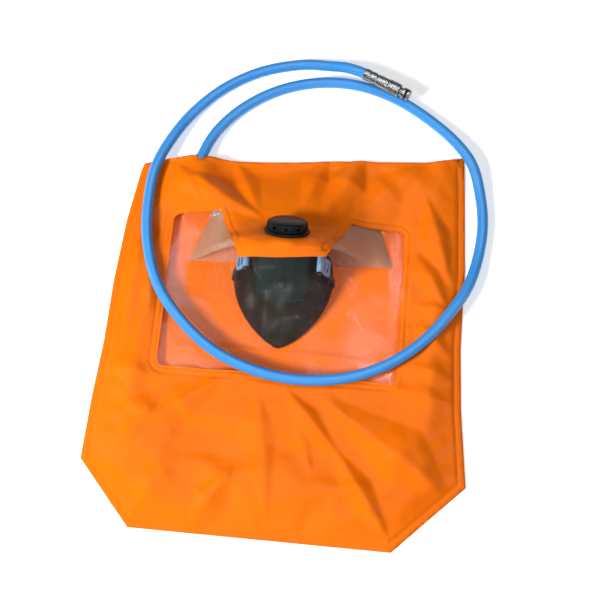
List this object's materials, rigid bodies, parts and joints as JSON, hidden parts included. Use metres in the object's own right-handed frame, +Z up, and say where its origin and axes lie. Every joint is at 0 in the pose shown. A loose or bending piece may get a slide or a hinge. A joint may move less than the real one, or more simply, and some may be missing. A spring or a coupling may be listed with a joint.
{
  "type": "air-fed rescue hood",
  "caption": "Flat-lying orange film rescue hood with a clear visor, a half mask with a capped exhalation valve, and a looped blue air hose ending in a plug.",
  "frame": {"origin": "on the floor under the middle of the hood, hose and plug left out", "axes": "+Y towards the neck opening, +X towards the wearer's right as the hood lies face up, +Z up"},
  "size_m": [0.3429, 0.457, 0.0644],
  "materials": {
    "hood_film": "orange coated film, semi-gloss, soft creases",
    "clear_film": "clear flexible film, glossy",
    "seal_film": "thin translucent elastic film",
    "mask_rubber": "black moulded rubber, satin",
    "black_plastic": "black moulded plastic, satin",
    "valve_rubber": "thin valve flap rubber",
    "seal_rubber": "black sealing rubber",
    "clip_plastic": "pale blue translucent plastic",
    "strap_web": "black elastic webbing",
    "hose": "blue satin air hose",
    "steel": "nickel plated, turned"
  },
  "bodies": {
    "hood": {"hood_back_panel": "hood_film", "hood_front_panel": "hood_film", "visor_window": "clear_film", "neck_seal": "seal_film", "mask_facepiece": "mask_rubber", "mask_front_shell": "black_plastic", "front_shell_stud": "black_plastic", "clip_pin_left": "steel", "clip_pin_right": "steel", "head_strap": "strap_web", "valve_housing": "black_plastic", "valve_gasket": "seal_rubber", "valve_clamp_ring": "black_plastic", "inlet_housing": "black_plastic", "inlet_nut": "black_plastic", "inlet_ferrule": "steel", "hose_grommet": "seal_rubber", "air_hose": "hose", "plug_ferrule": "steel", "plug_body": "steel", "plug_collar": "steel", "plug_o_ring": "seal_rubber"},
    "valve_cover": {"valve_cover": "black_plastic"},
    "exhalation_flap": {"valve_disc": "valve_rubber"},
    "inhalation_flap": {"inlet_disc": "valve_rubber"},
    "left_clip": {"strap_clip_left": "clip_plastic"},
    "right_clip": {"strap_clip_right": "clip_plastic"}
  },
  "joints": [
    {"name": "cover_turn", "type": "hinge", "parent": "hood", "child": "valve_cover", "pos_m": [-0.004, 0.08, 0.045], "axis": [0, 0.788, 0.6157], "range_deg": [0, 40]},
    {"name": "exhalation_lift", "type": "slide", "parent": "hood", "child": "exhalation_flap", "axis": [0, 0.788, 0.6157], "range_m": [0, 0.0015], "stiffness_N_per_m": 20, "springref_m": -0.0005},
    {"name": "inhalation_lift", "type": "slide", "parent": "hood", "child": "inhalation_flap", "axis": [0.8, -0.6, 0], "range_m": [0, 0.0012], "stiffness_N_per_m": 20, "springref_m": -0.0005},
    {"name": "left_clip_swing", "type": "hinge", "parent": "hood", "child": "left_clip", "pos_m": [-0.037, 0.053, 0.0452], "axis": [0, 1, 0], "range_deg": [-5, 30]},
    {"name": "right_clip_swing", "type": "hinge", "parent": "hood", "child": "right_clip", "pos_m": [0.027, 0.053, 0.0452], "axis": [0, 1, 0], "range_deg": [-30, 5]}
  ]
}
